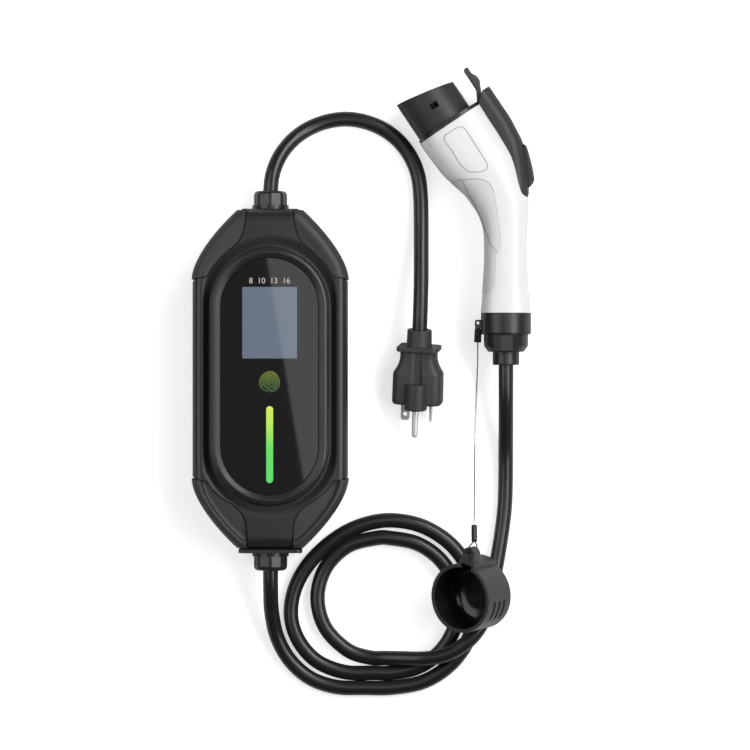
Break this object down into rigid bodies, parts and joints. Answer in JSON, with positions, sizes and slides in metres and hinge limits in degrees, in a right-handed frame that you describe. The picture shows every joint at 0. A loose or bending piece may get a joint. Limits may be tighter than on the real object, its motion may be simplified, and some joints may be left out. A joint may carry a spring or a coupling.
{
  "type": "electric vehicle charger",
  "caption": "Portable vehicle charging set with a wall plug, a long control box with a glass front, a looped cable, a latching connector and its dust cap.",
  "frame": {"origin": "centre of the control box's back face, which lies on the floor", "axes": "+Z out of the control box's front, +Y along the box towards the input lead, +X across it towards the connector"},
  "size_m": [0.2497, 0.4605, 0.0655],
  "materials": {
    "case_black": "satin, fine texture",
    "guard_rubber": "soft-touch",
    "seal_rubber": "smooth",
    "front_glass": "polished, back-painted",
    "display": "liquid crystal, lit",
    "light_guide": "translucent, lit from behind",
    "circuit_board": "solder mask",
    "component_plastic": "moulded",
    "coil": "varnished winding",
    "steel": "plain",
    "gland_black": "moulded satin",
    "cable_jacket": "smooth, low gloss",
    "plug_charcoal": "fine matte",
    "pin_nickel": "nickel plated",
    "handle_white": "satin",
    "grip_grey": "soft-touch",
    "head_black": "satin",
    "contact_metal": "silver plated",
    "cap_rubber": "smooth"
  },
  "bodies": {
    "set": {"rear_shell": "case_black", "front_shell": "case_black", "shell_seal": "seal_rubber", "guard_upper_left": "guard_rubber", "guard_upper_right": "guard_rubber", "guard_lower_left": "guard_rubber", "guard_lower_right": "guard_rubber", "glass_panel": "front_glass", "display_module": "display", "light_pipe": "light_guide", "touch_board": "circuit_board", "main_board": "circuit_board", "relays": "component_plastic", "power_module": "component_plastic", "leak_sensor": "coil", "terminal_block": "component_plastic", "case_screws": "steel", "end_plate": "case_black", "inlet_gland": "gland_black", "inlet_nut": "gland_black", "outlet_gland": "gland_black", "outlet_nut": "gland_black", "gland_seals": "seal_rubber", "input_lead": "cable_jacket", "plug_body": "plug_charcoal", "blade_flat": "pin_nickel", "blade_upright": "pin_nickel", "ground_pin": "pin_nickel", "charge_cable": "cable_jacket", "handle_upper": "handle_white", "handle_lower": "handle_white", "grip_upper": "grip_grey", "grip_lower": "grip_grey", "head_flange": "head_black", "nose_shroud": "head_black", "contact_carrier": "head_black", "power_sockets": "contact_metal", "ground_socket": "contact_metal", "signal_sockets": "contact_metal", "latch_cover": "head_black", "latch_pin": "steel", "latch_spring": "steel", "latch_switch": "component_plastic", "tail_collar": "head_black", "clamp_nut": "head_black", "bend_sleeve": "head_black", "handle_screws": "steel", "lanyard_clip": "head_black", "upper_ferrule": "head_black", "lanyard_wire": "steel", "lower_ferrule": "head_black", "dust_cap": "cap_rubber"},
    "lever": {"latch_lever": "head_black"}
  },
  "joints": [
    {"name": "latch_lever_hinge", "type": "hinge", "parent": "set", "child": "lever", "pos_m": [0.1713, 0.1856, 0.025], "axis": [0, 0, -1], "range_deg": [0, 6], "stiffness_Nm_per_rad": 0.3, "springref_deg": -22.92}
  ]
}
